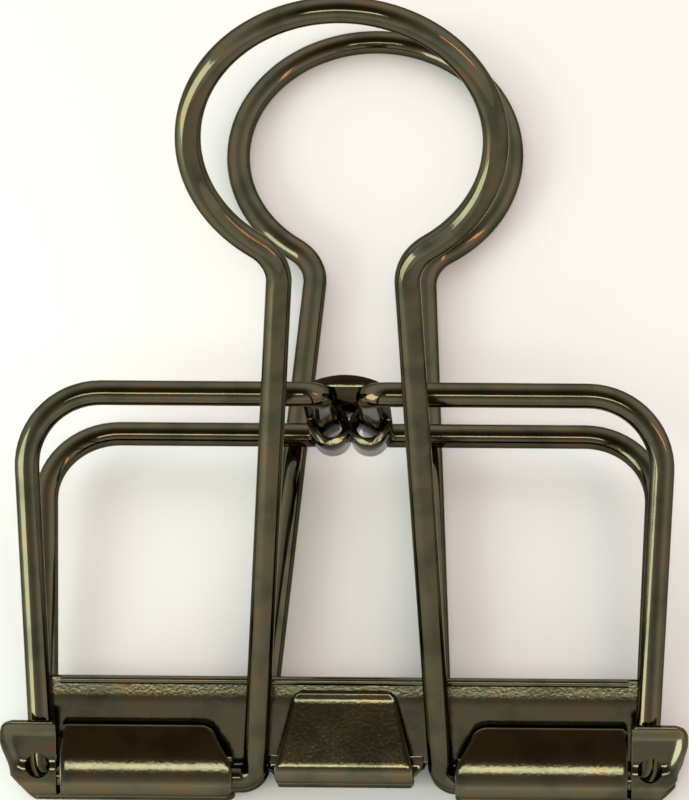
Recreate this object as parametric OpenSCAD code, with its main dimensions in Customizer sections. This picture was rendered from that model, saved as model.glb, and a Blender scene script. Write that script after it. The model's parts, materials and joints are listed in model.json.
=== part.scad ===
// Open-frame spring clip: two folded sheet jaws hung on two bent spring wires,
// a crimped sleeve that ties the wires at the spine, and two wire handles.
// It lies on its back handle and back jaw, as it comes to rest on a bench.
//
// Each piece is drawn in the clip's own frame and then laid down:
// X runs along the jaws, Y from the lips to the spine, Z out of the front.

/* [Overall] */
// Length of the jaws, end to end
jaw_length = 50; // [46:0.5:60]
// Height of the spine wires above the lip line
spine_height = 26.9; // [24:0.2:32]
// Depth of the spine, front wire centre to back wire centre
spine_depth = 22.2; // [18:0.2:26]

/* [Wire] */
// Thickness of the spring wires
spring_d = 1.8; // [1.6:0.05:1.9]
// Thickness of the handle wires
handle_d = 1.8; // [1.6:0.05:1.9]
// Distance from a jaw's end to the middle of the leg at the lip
leg_inset = 3.05; // [2.8:0.05:3.2]
// How far each leg leans outwards by the time it reaches the spine
leg_splay = 1.2; // [0:0.1:1.4]
// Radius of the wire's middle line at the frame's top corners
corner_r = 5.4; // [3:0.2:8]
// Radius of the wire's middle line where a foot turns into a jaw
foot_bend_r = 1.2; // [1.1:0.05:1.4]
// Length of straight foot held inside a jaw's roll
spring_foot = 3.2; // [2:0.2:4]
// Radius of the wire's middle line where it turns across the spine
spine_bend_r = 1.6; // [1.3:0.1:2.4]
// Distance between the middles of the two wires inside the sleeve
spine_pitch = 3.4; // [3:0.1:4]

/* [Sheet jaws] */
// Thickness of the jaw sheet
sheet_t = 0.5; // [0.4:0.05:0.6]
// Clearance between a wire and the roll that holds it
roll_clearance = 0.1; // [0.1:0.01:0.16]
// Gap between the two jaws when the clip is shut
lip_gap = 0.1; // [0.06:0.02:0.3]
// Height of a jaw's sheet above the lip line
plate_h = 7.3; // [6.9:0.1:10]
// Length of a rolled flap above the roll
flap_h = 3.65; // [3:0.05:4]
// Lean of the rolled flaps towards the sheet, in degrees
flap_lean = 26; // [0:1:27]
// How far a flap's inner end is cut back by its top, to clear the handle
flap_slant = 1.6; // [0:0.1:2.4]
// Height above the lip line where that slant begins
slant_h = 1.2; // [0.6:0.1:1.6]
// Distance from a jaw's end to the side edge of its upper sheet
plate_inset = 2; // [1.8:0.1:2.4]
// Height of the bead along the sheet's top edge
bead_h = 0.7; // [0.4:0.05:1]
// How far the bead stands out of the sheet
bead_t = 0.15; // [0.05:0.01:0.2]
// Width of the end ear that closes over each leg
ear_w = 4.1; // [4.1:0.05:4.4]
// Height of the ear above the lip line
ear_h = 4.5; // [4:0.1:5]
// Width of the slit between the ear and the roll
slit_w = 0.25; // [0.2:0.05:0.4]
// Diameter of the hole in each ear
ear_hole_d = 1.8; // [1.2:0.1:1.9]
// How far that hole sits outside the leg's middle
ear_hole_out = 0.3; // [0:0.05:0.4]
// Height of that hole's middle above the lip line
ear_hole_h = 1.1; // [0.9:0.1:1.4]
// Size of the cut across the ear's outer lower corner
ear_chamfer = 2; // [1:0.1:2.4]
// Clearance that is left between a handle's leg and the sheet when it has slid over
leg_clearance = 0.1; // [0.08:0.02:0.3]
// Width of the middle tongue at its tip
tongue_tip_w = 7.4; // [5:0.1:9]
// Height of the tongue's tip above the lip line
tongue_h = 6.4; // [5:0.1:7]
// Height of the line where the tongue's fold begins
tongue_fold_h = 0.9; // [0.6:0.1:1.2]
// Inside radius of the tongue's fold
tongue_fold_r = 0.85; // [0.6:0.05:1]
// Gap between the tongue's tip and the sheet behind it
tongue_gap = 0.05; // [0.03:0.01:0.2]

/* [Sleeve] */
// Thickness of the sleeve's sheet
sleeve_t = 0.55; // [0.45:0.05:0.6]
// Length of the sleeve's back, from front to back of the clip
sleeve_l = 17; // [12:0.5:17.6]
// Height of the dome over the wires' middle line
dome_h = 1.8; // [1.6:0.05:2.2]
// Length of the sleeve's crimped wings
wing_l = 6.6; // [5:0.2:12]
// Outer radius of the bulge below each wire
lobe_ro = 1.45; // [1.4:0.05:1.5]
// How far the bulge's middle lies below its wire's
lobe_drop = 0.5; // [0.4:0.05:0.6]
// How far the bulge's middle lies in from its wire's
lobe_in = 0.3; // [0.25:0.05:0.4]
// Clearance between the sleeve and its wires
sleeve_clearance = 0.02; // [0.01:0.01:0.05]

/* [Handles] */
// Distance between the two legs of a handle at the lip, middle to middle
handle_foot_w = 13.6; // [12.6:0.1:15]
// Lean of a handle's legs towards each other, in degrees
handle_leg_lean = 3.4; // [2:0.2:4.4]
// Radius of the loop's middle line
loop_r = 10.6; // [9:0.2:12]
// Distance from the lip line to the middle of the loop
loop_h = 55.2; // [50:0.2:58]
// Radius of the wire's middle line where a leg turns into the loop
neck_r = 3.5; // [2.5:0.25:5]
// Length of straight foot held inside a jaw's roll
handle_foot = 6.5; // [4:0.25:7]
// How far a handle can slide either way in its jaw
handle_play = 0.3; // [0.1:0.05:0.5]
// How much the back handle is bent over to the right, in degrees
back_skew = 1.1; // [-1.4:0.1:1.4]
// Gap between a folded-down handle and the spine wire it rests on
handle_rest_gap = 0.12; // [0.1:0.02:0.4]
// How far the front handle stands off its resting place, in degrees
front_handle_open = 20; // [0:1:60]

/* [Hidden] */
$fn = 96;
eps = 0.01;
// neighbouring stretches of wire lap by this much, and differ this much in radius
lap = 0.03;
swell = 0.004;
// the bead ends this far short of the legs
bead_inset = 0.3;

spring_r = spring_d / 2;
handle_r = handle_d / 2;

// the roll's bore takes the thicker of the two wires
roll_ri = max(spring_r, handle_r) + roll_clearance;
roll_ro = roll_ri + sheet_t;
lip_z = roll_ro + lip_gap / 2;

// each half of the spring frame leans from the lips out to the spine
frame_lean = atan2(spine_depth / 2 - lip_z, spine_height);
frame_l = norm([spine_height, spine_depth / 2 - lip_z]);
leg_x = jaw_length / 2 - leg_inset;
leg_top_x = leg_x + leg_splay;

// a handle lies on the spine wire at this lean from the clip's middle plane
rest_lean = frame_lean + asin((spring_r + handle_r + handle_rest_gap) / frame_l);

handle_foot_x = handle_foot_w / 2;

// laid on its back, the clip touches the bench at the back roll and the loop
handle_reach = loop_h + loop_r;
lay_angle = rest_lean - asin((roll_ro - handle_r) / handle_reach);
back_pivot = [lip_z * sin(lay_angle), -lip_z * cos(lay_angle)];
lay_z = roll_ro - back_pivot[1];
y_low = -lip_z * sin(lay_angle) - roll_ro;
y_high = back_pivot[0] + handle_reach * cos(rest_lean - lay_angle) + handle_r;
lay_y = -(y_low + y_high) / 2;

// the sheet stands clear of a handle's leg on both sides
roll_start = handle_foot_x + handle_r + handle_play + leg_clearance;
tongue_half_w = handle_foot_x - handle_r - handle_play - leg_clearance;
plate_half_w = jaw_length / 2 - plate_inset;
bead_half_w = leg_x - spring_r - bead_inset;

sheet_color = "#4a4234";
wire_color = "#3d3529";
sleeve_color = "#554d3f";

// ---- laying down ----

// from the clip's own frame to the frame it rests in
module laid() {
    translate([0, lay_y, lay_z]) rotate([lay_angle, 0, 0]) children();
}

// the front half's frame: Y up along the leaning frame, Z out of it
module front_half() {
    translate([0, 0, lip_z]) rotate([frame_lean, 0, 0]) children();
}

module back_half() {
    mirror([0, 0, 1]) front_half() children();
}

// ---- wire ----

// straight wire between two points of the XY plane, its ends lapped into the bends
module straight(p, q, r, lap_start = lap, lap_end = lap) {
    run = q - p;
    translate([p[0], p[1], 0])
        rotate([0, 0, atan2(run[1], run[0])])
            rotate([0, 90, 0])
                translate([0, 0, -lap_start]) cylinder(r = r, h = norm(run) + lap_start + lap_end);
}

// wire bent round a centre in the XY plane, from one angle to another
module bend(centre, bend_r, from, to, r) {
    translate([centre[0], centre[1], 0])
        rotate([0, 0, from])
            rotate_extrude(angle = to - from) translate([bend_r, 0]) circle(r = r + swell);
}

// ---- spring wires ----

leg_lean = atan2(leg_splay, frame_l);
spring_turn = 90 - leg_lean;
corner_turn = 90 + leg_lean;
corner_x = leg_top_x - corner_r * tan(corner_turn / 2);
spine_x = spine_pitch / 2;

// one leaning half of the right-hand wire: foot, leg, corner and top run
module spring_half() {
    foot_y = foot_bend_r;
    turn_x = leg_x - foot_bend_r * tan(spring_turn / 2);
    start = [turn_x + foot_bend_r * cos(leg_lean), foot_y - foot_bend_r * sin(leg_lean)];
    up = [sin(leg_lean), cos(leg_lean)];
    corner = [corner_x, frame_l - corner_r];
    top = corner + corner_r * [cos(leg_lean), -sin(leg_lean)];
    straight([turn_x - spring_foot, 0], [turn_x, 0], spring_r);
    bend([turn_x, foot_y], foot_bend_r, -90, -leg_lean, spring_r);
    straight(start, top, spring_r);
    bend(corner, corner_r, -leg_lean, 90, spring_r);
    straight([spine_x + spine_bend_r, frame_l], [corner_x, frame_l], spring_r);
}

// the wire crosses the spine from the front top run to the back one
module spine_crossing() {
    cross_z = spine_depth / 2 - spine_bend_r;
    translate([0, spine_height, 0]) {
        translate([spine_x, 0, -cross_z - lap]) cylinder(r = spring_r, h = 2 * (cross_z + lap));
        for (side = [1, -1])
            scale_z(side) translate([spine_x + spine_bend_r, 0, cross_z])
                rotate([90, 0, 0])
                    bend([0, 0], spine_bend_r, 90, 180, spring_r);
    }
}

module scale_z(side) {
    if (side > 0) children();
    else mirror([0, 0, 1]) children();
}

module right_wire() {
    front_half() spring_half();
    back_half() spring_half();
    spine_crossing();
}

module right_spring_wire() {
    color(wire_color) laid() right_wire();
}

module left_spring_wire() {
    color(wire_color) laid() mirror([1, 0, 0]) right_wire();
}

// ---- handles ----

// along a right-hand leg that leans in, and square to it
function leg_dir(lean) = [-sin(lean), cos(lean)];
function leg_out(lean) = [cos(lean), sin(lean)];

// middle of the neck's turn, which touches both the leg and a loop centred at [loop_x, loop_h]
function neck_centre(lean, loop_x) =
    let (base = [handle_foot_x, 0] + neck_r * leg_out(lean),
         to_base = base - [loop_x, loop_h],
         along = to_base * leg_dir(lean),
         run = -along - sqrt(along * along - to_base * to_base + pow(loop_r + neck_r, 2)))
    base + run * leg_dir(lean);

// where a neck meets the loop, as an angle at the loop's middle
function loop_angle(lean, loop_x) =
    let (offset = neck_centre(lean, loop_x) - [loop_x, loop_h]) atan2(offset[1], offset[0]);

module handle_side(lean, loop_x) {
    turn = 90 - lean;
    turn_x = handle_foot_x + foot_bend_r * tan(turn / 2);
    bend_end = [turn_x, foot_bend_r] - foot_bend_r * leg_out(lean);
    neck = neck_centre(lean, loop_x);
    straight([turn_x, 0], [turn_x + handle_foot, 0], handle_r);
    bend([turn_x, foot_bend_r], foot_bend_r, 180 + lean, 270, handle_r);
    straight(bend_end, neck - neck_r * leg_out(lean), handle_r);
    bend(neck, neck_r, 180 + loop_angle(lean, loop_x), 180 + lean, handle_r);
}

// keyhole-shaped handle, its feet on the X axis and its loop up Y, bent over to the right by skew
module handle(skew = 0) {
    loop_x = loop_h * tan(skew);
    handle_side(handle_leg_lean - skew, loop_x);
    mirror([1, 0, 0]) handle_side(handle_leg_lean + skew, -loop_x);
    loop_lap = lap / loop_r * 180 / PI;
    bend([loop_x, loop_h], loop_r, loop_angle(handle_leg_lean - skew, loop_x) - loop_lap,
         180 - loop_angle(handle_leg_lean + skew, -loop_x) + loop_lap, handle_r + swell);
}

module front_handle() {
    color(wire_color) laid()
        translate([0, 0, lip_z]) rotate([rest_lean + front_handle_open, 0, 0]) handle();
}

// the back handle has slid over to the right, as far as it goes
module back_handle() {
    color(wire_color) laid()
        mirror([0, 0, 1])
            translate([handle_play, 0, lip_z]) rotate([rest_lean, 0, 0]) handle(back_skew);
}

// ---- jaws ----

// a section drawn as [height, depth] run along X
module run_x(from, to) {
    translate([from, 0, 0]) rotate([90, 0, 90]) linear_extrude(to - from) children();
}

// sheet folded round a centre: a back wall, a half ring below and a flap that leans back
module folded_wall(ri, ro, flap_l, lean) {
    intersection() {
        difference() {
            circle(r = ro);
            circle(r = ri);
        }
        union() {
            translate([-2 * ro, -2 * ro]) square([2 * ro, 4 * ro]);
            rotate(-lean) translate([-2 * ro, 0]) square(2 * ro);
        }
    }
    rotate(-lean) translate([-eps, ri]) square([flap_l + eps, ro - ri]);
    translate([-eps, -ro]) square([flap_l + eps, ro - ri]);
}

module jaw_roll() {
    roll_end = jaw_length / 2 - ear_w - slit_w;
    flap_top = roll_ro + flap_h;
    difference() {
        run_x(roll_start, roll_end) folded_wall(roll_ri, roll_ro, flap_h, flap_lean);
        // the flap's inner end slants away from the handle's leg
        translate([0, 0, -roll_ri + eps]) linear_extrude(roll_ri + roll_ro)
            polygon([[roll_start - eps, slant_h], [roll_start + flap_slant, flap_top],
                     [roll_start - eps, flap_top]]);
    }
}

// the ear wraps the leg's foot and shows it through a round hole
module jaw_ear() {
    ear_x = jaw_length / 2 - ear_w;
    difference() {
        run_x(ear_x - slit_w - eps, jaw_length / 2) folded_wall(roll_ri, roll_ro, ear_h, 0);
        // slit between ear and roll, on the flap's side only
        translate([ear_x - slit_w, -roll_ri, 0]) cube([slit_w, 2 * ear_h, 2 * roll_ro]);
        // hole over the wire's bend
        translate([leg_x + ear_hole_out, ear_hole_h, 0]) cylinder(d = ear_hole_d, h = 2 * roll_ro);
        // the ear's outer lower corner is cut off
        translate([jaw_length / 2, -roll_ro, -2 * roll_ro])
            rotate([0, 0, -45])
                translate([-ear_chamfer / sqrt(2), -2 * ear_chamfer, 0])
                    cube([4 * ear_chamfer, 4 * ear_chamfer, 4 * roll_ro]);
    }
}

// sheet behind the rolls and legs, cut away beside the tongue's fold
module jaw_sheet() {
    translate([0, 0, -roll_ro]) difference() {
        translate([-plate_half_w, 0, 0]) cube([2 * plate_half_w, plate_h, sheet_t]);
        translate([-roll_start, -eps, -eps])
            cube([2 * roll_start, tongue_fold_h + eps, sheet_t + 2 * eps]);
    }
    translate([-bead_half_w, plate_h - bead_h, -roll_ri - eps])
        cube([2 * bead_half_w, bead_h, bead_t + eps]);
}

// the middle of the blank is folded up flat in front of the sheet
module tongue() {
    ri = tongue_fold_r;
    ro = ri + sheet_t;
    flap_l = tongue_h - tongue_fold_h;
    lean = asin((2 * ri - tongue_gap) / flap_l);
    intersection() {
        run_x(-tongue_half_w, tongue_half_w)
            translate([tongue_fold_h, ro - roll_ro]) folded_wall(ri, ro, flap_l, lean);
        translate([0, 0, -2 * roll_ro]) linear_extrude(4 * roll_ro)
            polygon([[-tongue_half_w, -2 * roll_ro], [tongue_half_w, -2 * roll_ro],
                     [tongue_half_w, tongue_fold_h], [tongue_tip_w / 2, tongue_h],
                     [-tongue_tip_w / 2, tongue_h], [-tongue_half_w, tongue_fold_h]]);
    }
}

module jaw() {
    for (side = [0, 1]) mirror([side, 0, 0]) {
        jaw_roll();
        jaw_ear();
    }
    jaw_sheet();
    tongue();
}

module front_jaw() {
    color(sheet_color) laid() front_half() jaw();
}

module back_jaw() {
    color(sheet_color) laid() back_half() jaw();
}

// ---- sleeve ----

sleeve_ri = spring_r + sleeve_clearance;
sleeve_ro = sleeve_ri + sleeve_t;

// the sleeve's back is a dome that touches the rings round both wires
dome_rise = dome_h - sleeve_ro;
dome_drop = (spine_x * spine_x - dome_rise * dome_rise) / (2 * dome_rise);
dome_r = dome_h + dome_drop;
dome_x = dome_r * spine_x / norm([spine_x, dome_drop]);

module sleeve_back_section() {
    difference() {
        union() {
            for (side = [-1, 1]) translate([side * spine_x, 0]) circle(r = sleeve_ro);
            intersection() {
                translate([0, -dome_drop]) circle(r = dome_r);
                translate([-dome_x, 0]) square([2 * dome_x, dome_h]);
            }
        }
        for (side = [-1, 1]) translate([side * spine_x, 0]) circle(r = sleeve_ri);
        translate([-2 * sleeve_ro - spine_x, -2 * sleeve_ro])
            square([4 * sleeve_ro + 2 * spine_x, 2 * sleeve_ro]);
        translate([-spine_x, -eps]) square([2 * spine_x, sleeve_ri + eps]);
    }
}

// the wings wrap the wires, bulge below them and meet between them
module sleeve_wing_section() {
    lobe_x = spine_x - lobe_in;
    difference() {
        for (side = [-1, 1]) {
            translate([side * spine_x, 0]) circle(r = sleeve_ro);
            translate([side * lobe_x, -lobe_drop]) circle(r = lobe_ro);
        }
        for (side = [-1, 1]) {
            translate([side * spine_x, 0]) circle(r = sleeve_ri);
            translate([side * lobe_x, -lobe_drop]) circle(r = lobe_ro - sleeve_t);
        }
    }
}

module spine_sleeve() {
    color(sleeve_color) laid() translate([0, spine_height, 0]) {
        translate([0, 0, -sleeve_l / 2]) linear_extrude(sleeve_l) sleeve_back_section();
        translate([0, 0, -sleeve_l / 2]) linear_extrude(wing_l) sleeve_wing_section();
    }
}

front_jaw();
back_jaw();
left_spring_wire();
right_spring_wire();
spine_sleeve();
front_handle();
back_handle();
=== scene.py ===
# Open-frame binder clip lying on a bench: dark antique-bronze plate, polished, over steel wire and sheet
import json
from math import asin, atan2, cos, degrees, hypot, pi, radians, sin, tan

import bpy
from mathutils import Matrix, Vector


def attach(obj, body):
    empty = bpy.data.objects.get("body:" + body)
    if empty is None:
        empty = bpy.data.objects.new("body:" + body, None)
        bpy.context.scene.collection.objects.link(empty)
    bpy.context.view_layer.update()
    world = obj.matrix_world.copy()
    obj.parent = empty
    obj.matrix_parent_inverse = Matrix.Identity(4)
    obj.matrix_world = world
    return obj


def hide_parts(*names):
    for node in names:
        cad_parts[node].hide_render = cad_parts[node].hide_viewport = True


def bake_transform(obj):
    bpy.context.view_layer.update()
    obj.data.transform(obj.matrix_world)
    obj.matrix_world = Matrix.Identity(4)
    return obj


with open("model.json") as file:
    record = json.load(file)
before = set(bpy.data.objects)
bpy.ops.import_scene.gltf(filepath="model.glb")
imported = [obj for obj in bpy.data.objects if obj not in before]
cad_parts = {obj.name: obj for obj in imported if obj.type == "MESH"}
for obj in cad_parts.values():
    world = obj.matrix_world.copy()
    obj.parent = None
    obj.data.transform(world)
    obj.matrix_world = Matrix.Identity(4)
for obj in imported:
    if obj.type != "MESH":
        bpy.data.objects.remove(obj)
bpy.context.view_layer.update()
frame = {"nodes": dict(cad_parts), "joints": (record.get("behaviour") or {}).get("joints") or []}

mm = 0.001

# Sizes are in millimetres and angles in degrees, except where a note says otherwise.
# The clip's own directions: x along the jaws, u from the lips to the spine, w out of the front
clip = {
    "spineHeight": 26.9,      # lip line to the spine wires
    "spineDepth": 22.2,       # front top run to back top run
    "hingeDepth": 1.55,       # lip line to the middle of a jaw's roll
    "rollOuter": 1.5,
    "wireRadius": 0.9,
    "loopHeight": 55.2,       # a handle's hinge to the middle of its loop
    "loopRadius": 10.6,
    "restGap": 0.12,          # handle to the spine wire it lies on
}

frameRise = clip["spineDepth"] / 2 - clip["hingeDepth"]
frameLean = atan2(frameRise, clip["spineHeight"])
frameLength = hypot(frameRise, clip["spineHeight"])
restLean = frameLean + asin((2 * clip["wireRadius"] + clip["restGap"]) / frameLength)
handleReach = clip["loopHeight"] + clip["loopRadius"]
layAngle = restLean - asin((clip["rollOuter"] - clip["wireRadius"]) / handleReach)
layTurn = Matrix.Rotation(layAngle, 3, "X")
joints = {joint["name"]: joint for joint in frame["joints"]}
frontHinge = Vector(joints["front_handle_hinge"]["pos_m"]) / mm
layShift = frontHinge - layTurn @ Vector((0, 0, clip["hingeDepth"]))


def laid(x, u, w):
    # the clip lies on its back handle and its back jaw
    return (layTurn @ Vector((x, u, w)) + layShift) * mm


def halfPoint(x, height, depth, side):
    # side 1 is the front half, -1 the back half; height runs up the leaning frame, depth out of it
    u = height * cos(frameLean) - depth * sin(frameLean)
    w = clip["hingeDepth"] + height * sin(frameLean) + depth * cos(frameLean)
    return laid(x, u, side * w)


meshing = {
    "samePoint": 0.02,        # two runs of a wire whose ends are this close share the point
    "wireWeld": 0.002,
    "sheetWeld": 0.001,
    "wireCrease": 50,         # edges sharper than this stay crisp
    "sheetCrease": 35,
}


def pick(thing):
    bpy.ops.object.select_all(action="DESELECT")
    thing.select_set(True)
    bpy.context.view_layer.objects.active = thing


def weld(thing, gap):
    pick(thing)
    bpy.ops.object.mode_set(mode="EDIT")
    bpy.ops.mesh.select_all(action="SELECT")
    bpy.ops.mesh.remove_doubles(threshold=gap * mm)
    bpy.ops.mesh.normals_make_consistent(inside=False)
    bpy.ops.object.mode_set(mode="OBJECT")


def straightRun(start, end, step):
    count = max(2, round((Vector(end) - Vector(start)).length / step))
    return [Vector(start).lerp(Vector(end), i / count) for i in range(count + 1)]


def arcRun(centre, radius, fromAngle, toAngle, step):
    count = max(2, round(abs(toAngle - fromAngle) / step))
    angles = [radians(fromAngle + (toAngle - fromAngle) * i / count) for i in range(count + 1)]
    return [Vector((centre[0] + radius * cos(a), centre[1] + radius * sin(a))) for a in angles]


def joinRuns(*runs):
    points = list(runs[0])
    for run in runs[1:]:
        points += [p for p in run if (p - points[-1]).length > meshing["samePoint"]]
    return points


def sweptWire(name, points, radius, roundness=9):
    curve = bpy.data.curves.new(name, "CURVE")
    curve.dimensions = "3D"
    curve.bevel_depth = radius * mm
    curve.bevel_resolution = roundness
    curve.use_fill_caps = True
    spline = curve.splines.new("POLY")
    spline.points.add(len(points) - 1)
    for point, place in zip(spline.points, points):
        point.co = (*place, 1)
    wire = bpy.data.objects.new(name, curve)
    bpy.context.collection.objects.link(wire)
    pick(wire)
    bpy.ops.object.convert(target="MESH")
    wire = bpy.context.object
    weld(wire, meshing["wireWeld"])
    bpy.ops.object.shade_smooth_by_angle(angle=radians(meshing["wireCrease"]))
    return wire


springWire = {
    "legX": 21.95,            # middle of the leg at the lip
    "splay": 1.2,             # how far the leg leans out by the spine
    "cornerRadius": 5.4,
    "footBend": 1.2,
    "footLength": 3.2,
    "spineBend": 1.6,
    "spineX": 1.7,            # middle of the wire inside the sleeve
    "step": 0.8,              # spacing of rings along a straight
    "topStep": 0.4,           # closer on the top run, which twists
    "arcStep": 6,             # degrees between rings round a bend
}


def springWirePath(side):
    s = springWire
    legLean = degrees(atan2(s["splay"], frameLength))
    footX = s["legX"] - s["footBend"] * tan(radians(90 - legLean) / 2)
    cornerX = s["legX"] + s["splay"] - s["cornerRadius"] * tan(radians(90 + legLean) / 2)
    cornerHeight = frameLength - s["cornerRadius"]
    foot = arcRun((footX, s["footBend"]), s["footBend"], -90, -legLean, s["arcStep"])
    corner = arcRun((cornerX, cornerHeight), s["cornerRadius"], -legLean, 90, s["arcStep"])
    turnX = s["spineX"] + s["spineBend"]
    half = joinRuns(straightRun((footX - s["footLength"], 0), foot[0], s["step"]), foot,
                    straightRun(foot[-1], corner[0], s["step"]), corner,
                    straightRun(corner[-1], Vector((turnX, frameLength)), s["topStep"]))
    crossDepth = clip["spineDepth"] / 2 - s["spineBend"]
    turn = arcRun((turnX, crossDepth), s["spineBend"], 90, 180, s["arcStep"])
    front, back = [], []
    for run, end in ((front, 1), (back, -1)):
        run += [halfPoint(side * p[0], p[1], 0, end) for p in half]
        run += [laid(side * p[0], clip["spineHeight"], end * p[1]) for p in turn[1:]]
    across = straightRun(front[-1], back[-1], s["step"] * mm)
    return front + across[1:-1] + back[::-1]


handleWire = {
    "footX": 6.8,             # middle of the leg at the lip
    "footBend": 1.2,
    "footLength": 6.5,
    "neckRadius": 3.5,
    "frontOpen": 20,          # the front handle stands this far off its resting place
    "step": 2.0,
    "arcStep": 4,
    "loopStep": 3,
    # each has slid over in its jaw, its legs lean in, and it is bent over a little by hand
    "front_handle": {"lean": 3.1, "slide": 0.3, "skew": 0.2, "loopHeight": 55.35, "loopRadius": 10.45},
    "back_handle": {"lean": 3.4, "slide": 0.3, "skew": 0.9, "loopHeight": 55.15, "loopRadius": 10.65},
}


def handleSide(lean, loopX, look):
    # foot, leg and neck of the right-hand side, in the handle's own plane
    h = handleWire
    along, out = Vector((-sin(lean), cos(lean))), Vector((cos(lean), sin(lean)))
    loop = Vector((loopX, look["loopHeight"]))
    # the neck's middle lies on a line beside the leg, where its arc meets the loop's
    base = Vector((h["footX"], 0)) + h["neckRadius"] * out
    reach = (base - loop).dot(along)
    run = -reach - ((reach ** 2 - (base - loop).length_squared
                     + (look["loopRadius"] + h["neckRadius"]) ** 2) ** 0.5)
    neck = base + run * along
    loopAngle = degrees(atan2(neck.y - loop.y, neck.x - loop.x))
    turnX = h["footX"] + h["footBend"] * tan((pi / 2 - lean) / 2)
    legAngle = 180 + degrees(lean)
    foot = arcRun((turnX, h["footBend"]), h["footBend"], 270, legAngle, h["arcStep"])
    turn = arcRun(neck, h["neckRadius"], legAngle, 180 + loopAngle, h["arcStep"])
    return joinRuns(straightRun((turnX + h["footLength"], 0), foot[0], h["step"]), foot,
                    straightRun(foot[-1], turn[0], h["step"]), turn), loopAngle


def handlePath(side, lean, look):
    legLean, skew = radians(look["lean"]), radians(look["skew"])
    loopX = look["loopHeight"] * tan(skew)
    right, rightAngle = handleSide(legLean - skew, loopX, look)
    left, leftAngle = handleSide(legLean + skew, -loopX, look)
    loop = arcRun((loopX, look["loopHeight"]), look["loopRadius"], rightAngle, 180 - leftAngle,
                  handleWire["loopStep"])
    flat = joinRuns(right, loop, [Vector((-p.x, p.y)) for p in reversed(left)])
    return [laid(p.x + look["slide"], p.y * cos(lean), side * (clip["hingeDepth"] + p.y * sin(lean)))
            for p in flat]


jawSheet = {
    "thickness": 0.5,
    "edge": 0.12,             # rounding of the cut edges
    "edgeAngle": 40,          # folds flatter than this aren't cut edges
    "lap": 0.02,              # keeps the folds' backs off the back of the jaw
}


def smoothstep(low, high, value):
    t = min(1.0, max(0.0, (value - low) / (high - low)))
    return t * t * (3 - 2 * t)


def cornerCut(value, end, radius):
    # how far an edge is drawn in where its corner is rounded off
    past = min(radius, max(0.0, value - (end - radius)))
    return radius - (radius ** 2 - past ** 2) ** 0.5


def roundEdges(thing, width, angle, segments=2):
    weld(thing, meshing["sheetWeld"])
    bevel = thing.modifiers.new("edge", "BEVEL")
    bevel.width, bevel.segments = width * mm, segments
    bevel.limit_method, bevel.angle_limit = "ANGLE", radians(angle)
    bpy.ops.object.modifier_apply(modifier="edge")
    bpy.ops.object.shade_smooth_by_angle(angle=radians(meshing["sheetCrease"]))


def foldedSheet(name, profile, widths, columns, side, lift=None):
    # profile: (height, depth, normal height, normal depth) along the sheet's outer face, row by row;
    # widths: where each row starts and ends; lift raises the outer face, as a press does
    skins = []
    for inset in (0, jawSheet["thickness"]):
        skin = []
        for (height, depth, nHeight, nDepth), (low, high) in zip(profile, widths):
            for column in range(columns + 1):
                x = low + (high - low) * column / columns
                rise = lift(x, height, depth) if lift and not inset else 0
                skin.append(halfPoint(x, height + (rise - inset) * nHeight,
                                      depth + (rise - inset) * nDepth, side))
        skins.append(skin)
    rows, wide = len(profile), columns + 1
    faces = []
    for row in range(rows - 1):
        for column in range(columns):
            a = row * wide + column
            faces.append((a, a + 1, a + wide + 1, a + wide))
    total = rows * wide
    faces += [tuple(total + i for i in reversed(face)) for face in faces]
    rim = list(range(columns)) + [columns + row * wide for row in range(rows - 1)]
    rim += [total - 1 - i for i in rim]
    for i, start in enumerate(rim):
        end = rim[(i + 1) % len(rim)]
        faces.append((end, start, start + total, end + total))
    mesh = bpy.data.meshes.new(name)
    mesh.from_pydata(skins[0] + skins[1], [], faces)
    sheet = bpy.data.objects.new(name, mesh)
    bpy.context.collection.objects.link(sheet)
    roundEdges(sheet, jawSheet["edge"], jawSheet["edgeAngle"])
    return sheet


def foldProfile(backHeight, middle, radius, toAngle, count):
    # down from behind the jaw and round a fold: 180 is its back, 270 its bottom, 360 its front
    profile = [(backHeight, jawSheet["lap"] - clip["rollOuter"], 0, -1)]
    for i in range(count + 1):
        a = radians(180 + (toAngle - 180) * i / count)
        profile.append((middle[0] + radius * sin(a), middle[1] + radius * cos(a), sin(a), cos(a)))
    return profile


rollShape = {
    "start": 8.1, "end": 20.65,                     # from the middle of the jaw
    "backHeight": 1.3,
    "arcSteps": 22, "flapSteps": 20, "columns": 24,
    "frontRow": 17,                                 # rows from here on end short of the ear
    "flapTop": 3.94, "flapLean": 28,
    "curlHeight": 2.6,                              # the flap leans in more and more up to here
    "slant": 1.45, "slantHeights": (0.6, 4.4),      # the inner end clears the handle at its top
    "notch": 0.5, "notchTop": -0.9, "notchHeight": 0.6,
    "innerCorner": 0.7, "outerCorner": 0.35,
    "earLap": 0.05,
}


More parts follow.
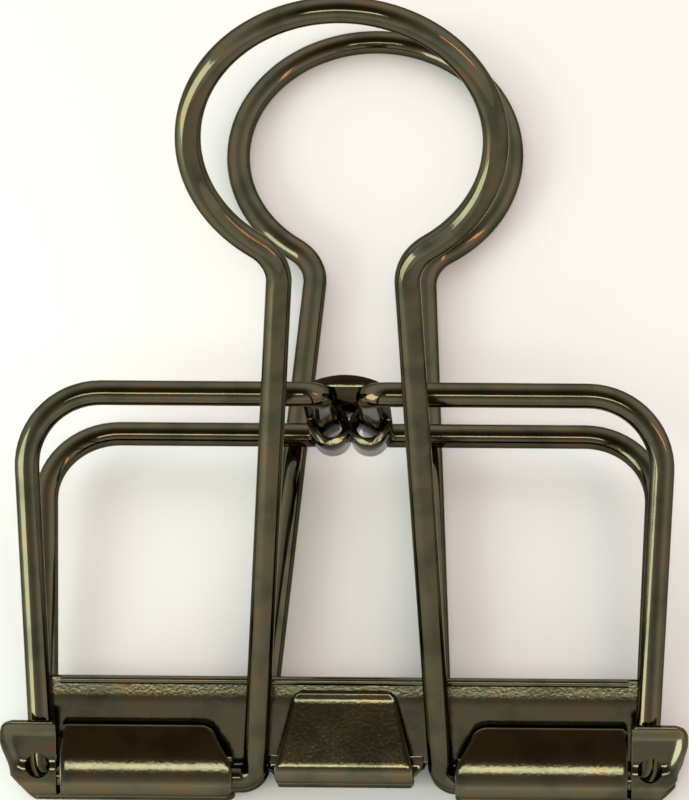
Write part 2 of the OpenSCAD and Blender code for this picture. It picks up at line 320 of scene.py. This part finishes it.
def rollPiece(side, hand):
    r = rollShape
    profile = foldProfile(r["backHeight"], (0, 0), clip["rollOuter"], 360, r["arcSteps"])
    depth, steps = clip["rollOuter"], r["flapSteps"]
    for i in range(1, steps + 1):
        height = r["flapTop"] * i / steps
        lean = radians(r["flapLean"] * min(1, height / r["curlHeight"]))
        depth -= tan(lean) * r["flapTop"] / steps
        profile.append((height, depth, sin(lean), cos(lean)))
    fullSlant = smoothstep(*r["slantHeights"], r["flapTop"])
    widths = []
    for row, (height, *_) in enumerate(profile):
        inner = r["start"] + r["notch"] * max(0, r["notchTop"] - height) / r["notchHeight"]
        outer = earShape["start"] + r["earLap"]
        if row >= r["frontRow"]:
            inner += r["slant"] * smoothstep(*r["slantHeights"], height) / fullSlant
            inner += cornerCut(height, r["flapTop"], r["innerCorner"])
            outer = r["end"] - cornerCut(height, r["flapTop"], r["outerCorner"])
        widths.append((hand * inner, hand * outer))
    return foldedSheet("roll", profile, widths, r["columns"], side)


earShape = {
    "start": 20.9, "end": 25.0, "top": 4.45,        # from the middle of the jaw, and up from the roll's
    "backHeight": 1.3,
    "arcSteps": 22, "flatSteps": 22, "columns": 16,
    "taper": 0.75, "taperTop": 3.3, "taperHeight": 2.8,     # the outer side draws in towards the roll
    "heel": 0.9, "heelTop": 0.4,                    # and further in under it
    "innerCorner": 0.3, "outerCorner": 0.9,
    "pressedHeight": 0.6, "pressedDepth": 1.3,      # only the flat front past these is pressed
    "rimRise": 0.14, "rimHeights": (1.0, 2.8),
    "dish": 0.26, "dishHeights": (0.7, 1.6), "dishEdge": (0.3, 1.0),
    "holeX": 22.25, "holeHeight": 1.1, "holeRadius": 0.9, "holeSides": 48,
    "punchLength": 1.6,
}


def earSide(height):
    e = earShape
    return e["end"] - e["taper"] * smoothstep(0, e["taperHeight"], e["taperTop"] - height)


def earHood(x, height, depth):
    # a raised rim along the top and the outer side, round a shallow dish
    e = earShape
    if depth < e["pressedDepth"] or height < e["pressedHeight"]:
        return 0
    fromEdge = min(earSide(height) - abs(x), e["top"] - height)
    rim = e["rimRise"] * smoothstep(*e["rimHeights"], height)
    fall = smoothstep(*e["dishEdge"], fromEdge) * smoothstep(*e["dishHeights"], height)
    return rim - (e["dish"] + rim) * fall


def earPiece(side, hand):
    e = earShape
    profile = foldProfile(e["backHeight"], (0, 0), clip["rollOuter"], 360, e["arcSteps"])
    profile += [(e["top"] * i / e["flatSteps"], clip["rollOuter"], 0, 1) for i in range(1, e["flatSteps"] + 1)]
    widths = []
    for height, *_ in profile:
        outer = earSide(height) - e["heel"] * max(0, e["heelTop"] - height)
        outer -= cornerCut(height, e["top"], e["outerCorner"])
        inner = e["start"] + cornerCut(height, e["top"], e["innerCorner"])
        widths.append((hand * inner, hand * outer))
    ear = foldedSheet("ear", profile, widths, e["columns"], side, earHood)
    middle = halfPoint(hand * e["holeX"], e["holeHeight"], clip["rollOuter"], side)
    aim = halfPoint(hand * e["holeX"], e["holeHeight"], clip["rollOuter"] + 1, side) - middle
    bpy.ops.mesh.primitive_cylinder_add(vertices=e["holeSides"], radius=e["holeRadius"] * mm,
                                        depth=e["punchLength"] * mm)
    punch = bpy.context.object
    punch.matrix_world = Matrix.Translation(middle) @ aim.to_track_quat("Z", "Y").to_matrix().to_4x4()
    pick(ear)
    cut = ear.modifiers.new("hole", "BOOLEAN")
    cut.operation, cut.solver, cut.object = "DIFFERENCE", "EXACT", punch
    bpy.ops.object.modifier_apply(modifier="hole")
    bpy.data.objects.remove(punch)
    bpy.ops.object.shade_smooth_by_angle(angle=radians(meshing["sheetCrease"]))
    return ear


tongueShape = {
    "backHeight": 1.5,
    "foldMiddle": (0.9, -0.15), "foldRadius": 1.35,
    "lean": 17.5, "top": 6.4,
    "arcSteps": 24, "flatSteps": 22, "columns": 20,
    "half": 4.9,                                    # half its width at the bottom of the fold
    "backRow": 14, "backDepth": -0.5,               # rows before this and behind this are its back
    "backFlare": 1.0, "backHeights": (-0.5, 0.7),
    "flare": 0.15, "flareHeights": (-0.5, 0.3),
    "taper": 1.35, "taperFrom": 0.9, "taperHeight": 5.5,
    "corner": 0.6,
    "lipRise": 0.1, "lipStart": 0.55, "lipFull": 0.3,       # down from the top
}


def tongueLip(x, height, depth):
    t = tongueShape
    return t["lipRise"] * smoothstep(t["top"] - t["lipStart"], t["top"] - t["lipFull"], height)


def tonguePiece(side):
    t = tongueShape
    profile = foldProfile(t["backHeight"], t["foldMiddle"], t["foldRadius"], 360 + t["lean"], t["arcSteps"])
    height, depth, nHeight, nDepth = profile[-1]
    rise = (t["top"] - height) / t["flatSteps"]
    for i in range(1, t["flatSteps"] + 1):
        profile.append((height + rise * i, depth - rise * i * tan(radians(t["lean"])), nHeight, nDepth))
    widths = []
    for row, (height, depth, *_) in enumerate(profile):
        if depth < t["backDepth"] and row < t["backRow"]:
            half = t["half"] + t["backFlare"] * smoothstep(*t["backHeights"], height)
        else:
            half = t["half"] + t["flare"] * smoothstep(*t["flareHeights"], height)
            half -= t["taper"] * max(0, height - t["taperFrom"]) / t["taperHeight"]
        half -= cornerCut(height, t["top"], t["corner"])
        widths.append((-half, half))
    return foldedSheet("tongue", profile, widths, t["columns"], side, tongueLip)


plateShape = {
    "half": 23.0, "low": 0.9, "top": 7.25,
    "depth": -1.0,                                  # its outer face, behind the middle of the roll
    "lean": 9.5, "leanHeights": (5.0, 5.9),         # the top of the sheet leans back a little
    "steps": 32, "columns": 40,
    "corner": 0.3,
}


def platePiece(side):
    p = plateShape
    profile, widths = [], []
    depth, rise = p["depth"], (p["top"] - p["low"]) / p["steps"]
    for i in range(p["steps"] + 1):
        height = p["low"] + rise * i
        lean = radians(p["lean"]) * smoothstep(*p["leanHeights"], height)
        profile.append((height, depth, sin(lean), cos(lean)))
        depth -= rise * tan(lean)
        half = p["half"] - cornerCut(height, p["top"], p["corner"])
        widths.append((-half, half))
    return foldedSheet("plate", profile, widths, p["columns"], side)


beadShape = {
    "half": 20.7, "radius": 0.3,
    "depth": -1.22,           # its middle, half sunk in the leaning top of the plate
    "step": 1.0, "roundness": 5,
}


def beadPiece(side):
    b = beadShape
    height = plateShape["top"] - b["radius"]
    left, right = (halfPoint(x, height, b["depth"], side) for x in (-b["half"], b["half"]))
    return sweptWire("bead", straightRun(left, right, b["step"] * mm), b["radius"], b["roundness"])


def jawPiece(name, side):
    parts = [platePiece(side), tonguePiece(side)]
    parts += [make(side, hand) for hand in (1, -1) for make in (rollPiece, earPiece)]
    parts.append(beadPiece(side))
    pick(parts[0])
    for part in parts[1:]:
        part.select_set(True)
    bpy.ops.object.join()
    jaw = bpy.context.object
    jaw.name = name
    return jaw


def linear(hexCode):
    channels = [int(hexCode[i:i + 2], 16) / 255 for i in (1, 3, 5)]
    return [c / 12.92 if c <= 0.04045 else ((c + 0.055) / 1.055) ** 2.4 for c in channels] + [1.0]


def addNode(owner, kind, settings=None, inputs=None, links=()):
    node = owner.node_tree.nodes.new(kind)
    for key, value in (settings or {}).items():
        setattr(node, key, value)
    for key, value in (inputs or {}).items():
        node.inputs[key].default_value = value
    for source, output, target in links:
        owner.node_tree.links.new(source.outputs[output], node.inputs[target])
    return node


# Antique-bronze plate: a dark olive-brown mirror, a little warmer here and there
bronze = {
    "tones": {"deep": 0.35, "plate": 0.5, "warm": 0.72},    # where in the clouds each colour lies
    "edgeTint": "#aeaeac",    # dark at grazing angles too, where bare metal turns white
    "cloudDetail": 3, "grainDetail": 2,
}
# clouds are about a wire's width across, and the grain is drawn coarser than the plate's own, to show
drawnWirePlate = {
    "deep": "#454333", "plate": "#4f4d3c", "warm": "#5b4b37",
    "cloudSize": 2.5, "grainSize": 0.2, "relief": 0.002,
    "smooth": 0.06, "rough": 0.14,
}
# sheet keeps a little of the rolling mill's grain under its plate
rolledSheetPlate = {
    "deep": "#4c4a3a", "plate": "#595745", "warm": "#65553e",
    "cloudSize": 3.0, "grainSize": 0.22, "relief": 0.006,
    "smooth": 0.08, "rough": 0.18,
}


def bronzePlate(name, look):
    material = bpy.data.materials.new(name)
    material.use_nodes = True
    material.node_tree.nodes.clear()
    place = addNode(material, "ShaderNodeTexCoord")
    cloud, grain = (addNode(material, "ShaderNodeTexNoise", links=[(place, "Object", "Vector")],
                            inputs={"Scale": 1 / (look[kind + "Size"] * mm), "Detail": bronze[kind + "Detail"]})
                    for kind in ("cloud", "grain"))
    tint = addNode(material, "ShaderNodeValToRGB", links=[(cloud, 0, "Fac")])
    tones = tint.color_ramp.elements
    tones[0].position, tones[1].position = bronze["tones"]["deep"], bronze["tones"]["warm"]
    tones.new(bronze["tones"]["plate"])
    for tone, key in zip(tones, bronze["tones"]):
        tone.color = linear(look[key])
    gloss = addNode(material, "ShaderNodeMapRange", inputs={"To Min": look["smooth"], "To Max": look["rough"]},
                    links=[(grain, 0, "Value")])
    relief = addNode(material, "ShaderNodeBump", inputs={"Strength": 1.0, "Distance": look["relief"] * mm},
                     links=[(grain, 0, "Height")])
    shader = addNode(material, "ShaderNodeBsdfPrincipled",
                     inputs={"Metallic": 1.0, "Specular Tint": linear(bronze["edgeTint"])},
                     links=[(tint, "Color", "Base Color"), (gloss, "Result", "Roughness"),
                            (relief, "Normal", "Normal")])
    addNode(material, "ShaderNodeOutputMaterial", links=[(shader, "BSDF", "Surface")])
    return material


def coat(thing, material):
    thing.data.materials.clear()
    thing.data.materials.append(material)


wirePlate = bronzePlate("bronze plate on drawn wire", drawnWirePlate)
sheetPlate = bronzePlate("bronze plate on rolled sheet", rolledSheetPlate)
print("plate mixed")

jawSides = {"front_jaw": 1, "back_jaw": -1}
for nodeName, side in jawSides.items():
    jaw = jawPiece(nodeName + "_folded", side)
    coat(jaw, sheetPlate)
    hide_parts(nodeName)
    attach(jaw, "front_jaw" if side > 0 else "rear_half")
print("jaws folded")

crimp = {"edge": 0.1, "edgeAngle": 50, "flatAngle": 1}


def crimpedSleeve(name):
    # the solid's own form, with its loose triangles merged and its edges rounded
    source = frame["nodes"]["spine_sleeve"]
    sleeve = source.copy()
    sleeve.data = source.data.copy()
    sleeve.name = name
    bpy.context.collection.objects.link(sleeve)
    pick(sleeve)
    bpy.ops.object.mode_set(mode="EDIT")
    bpy.ops.mesh.select_all(action="SELECT")
    bpy.ops.mesh.remove_doubles(threshold=meshing["sheetWeld"] * mm)
    bpy.ops.mesh.dissolve_limited(angle_limit=radians(crimp["flatAngle"]))
    bpy.ops.object.mode_set(mode="OBJECT")
    roundEdges(sleeve, crimp["edge"], crimp["edgeAngle"])
    return sleeve


sleeve = crimpedSleeve("spine_sleeve_crimped")
coat(sleeve, sheetPlate)
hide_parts("spine_sleeve")
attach(sleeve, "rear_half")
print("sleeve crimped")

frontLean = restLean + radians(handleWire["frontOpen"])
handlePaths = {
    "front_handle": handlePath(1, frontLean, handleWire["front_handle"]),
    "back_handle": handlePath(-1, restLean, handleWire["back_handle"]),
}
for nodeName, path in handlePaths.items():
    wire = sweptWire(nodeName + "_bent", path, clip["wireRadius"])
    coat(wire, wirePlate)
    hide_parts(nodeName)
    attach(wire, nodeName)
print("handles bent")

# A wire twists along its front top run as the jaws open. Here each is swept once in its resting shape and baked
# in place, so it doesn't twist
wireSides = {"right_spring_wire": 1, "left_spring_wire": -1}
for nodeName, side in wireSides.items():
    wire = sweptWire(nodeName + "_bent", springWirePath(side), clip["wireRadius"])
    coat(wire, wirePlate)
    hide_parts(nodeName)
    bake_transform(wire)
print("spring wires bent")

bench = {"size": 3.0, "colour": "#fafaf8", "roughness": 0.9}     # metres; white card


def benchTop():
    bpy.ops.mesh.primitive_plane_add(size=bench["size"], location=(0, 0, 0))
    floor = bpy.context.object
    floor.name = "bench_top"
    material = bpy.data.materials.new("white card")
    material.use_nodes = True
    shader = material.node_tree.nodes["Principled BSDF"]
    shader.inputs["Base Color"].default_value = linear(bench["colour"])
    shader.inputs["Roughness"].default_value = bench["roughness"]
    coat(floor, material)


# metres and degrees: azimuth 0 stands in front of the lips, 90 to the right
softboxes = {
    "left box": {"azimuth": -60, "elevation": 10, "distance": 0.17, "size": (0.12, 0.1),
                 "radiance": 6, "colour": "#f2fff2"},
    "front box": {"azimuth": 0, "elevation": 55, "distance": 0.6, "size": (0.3, 0.09),
                  "radiance": 7, "colour": "#f8fff2"},
    "warm box": {"azimuth": 75, "elevation": 30, "distance": 0.5, "size": (0.06, 0.2),
                 "radiance": 9, "colour": "#ff9050"},
}
boxAim = Vector((0, 0, 0.025))    # metres; low in the middle of the clip


def softbox(name, azimuth, elevation, distance, size, radiance, colour):
    a, e = radians(azimuth), radians(elevation)
    away = Vector((sin(a) * cos(e), -cos(a) * cos(e), sin(e)))
    lamp = bpy.data.lights.new(name, "AREA")
    lamp.shape = "RECTANGLE"
    lamp.size, lamp.size_y = size
    lamp.energy = radiance * pi * size[0] * size[1]
    lamp.color = linear(colour)[:3]
    box = bpy.data.objects.new(name, lamp)
    box.location = boxAim + away * distance
    box.rotation_mode = "QUATERNION"
    box.rotation_quaternion = away.to_track_quat("Z", "Y")
    box.visible_camera = False
    bpy.context.collection.objects.link(box)


# a pale room whose wall is dark on the side that the clip's front faces
room = {
    "darkSide": (0, -0.26, 0.966),
    "pale": "#fdfeff", "paleUpTo": 0.5,
    "dark": "#62503a", "darkFrom": 0.94,
    "strength": 1.35,
}


def studioWorld():
    world = bpy.data.worlds.new("studio")
    world.use_nodes = True
    background = world.node_tree.nodes["Background"]
    place = addNode(world, "ShaderNodeTexCoord")
    toward = addNode(world, "ShaderNodeVectorMath", {"operation": "DOT_PRODUCT"}, {1: room["darkSide"]},
                     [(place, "Generated", 0)])
    shade = addNode(world, "ShaderNodeValToRGB", links=[(toward, "Value", "Fac")])
    pale, dark = shade.color_ramp.elements
    pale.position, pale.color = room["paleUpTo"], linear(room["pale"])
    dark.position, dark.color = room["darkFrom"], linear(room["dark"])
    world.node_tree.links.new(shade.outputs["Color"], background.inputs["Color"])
    background.inputs["Strength"].default_value = room["strength"]
    bpy.context.scene.world = world


benchTop()
for boxName, settings in softboxes.items():
    softbox(boxName, **settings)
studioWorld()
bpy.context.scene.view_settings.view_transform = "Standard"
print("bench and light set")

viewpoint = {
    "aim": (-0.3055, 28.04, 0),   # in the clip's own directions
    "distance": 463.82,
    "pitch": -7.96,           # the camera stands a little towards the lips
    "yaw": 1.718,
    "roll": 0.642,
    "lens": 283.09,
    "near": 0.05, "far": 10,  # metres
}


def setCamera():
    p, y, r = (radians(viewpoint[key]) for key in ("pitch", "yaw", "roll"))
    back = Vector((sin(y) * cos(p), sin(p), cos(y) * cos(p)))
    right = Vector((cos(y), 0, -sin(y)))
    up = back.cross(right)
    right, up = cos(r) * right + sin(r) * up, cos(r) * up - sin(r) * right
    turn = Matrix([layTurn @ axis for axis in (right, up, back)]).transposed()
    camera = bpy.data.objects.new("camera", bpy.data.cameras.new("camera"))
    camera.data.lens = viewpoint["lens"]
    camera.data.clip_start, camera.data.clip_end = viewpoint["near"], viewpoint["far"]
    camera.matrix_world = turn.to_4x4()
    camera.location = laid(*(Vector(viewpoint["aim"]) + back * viewpoint["distance"]))
    bpy.context.collection.objects.link(camera)
    bpy.context.scene.camera = camera


setCamera()
print("camera set")
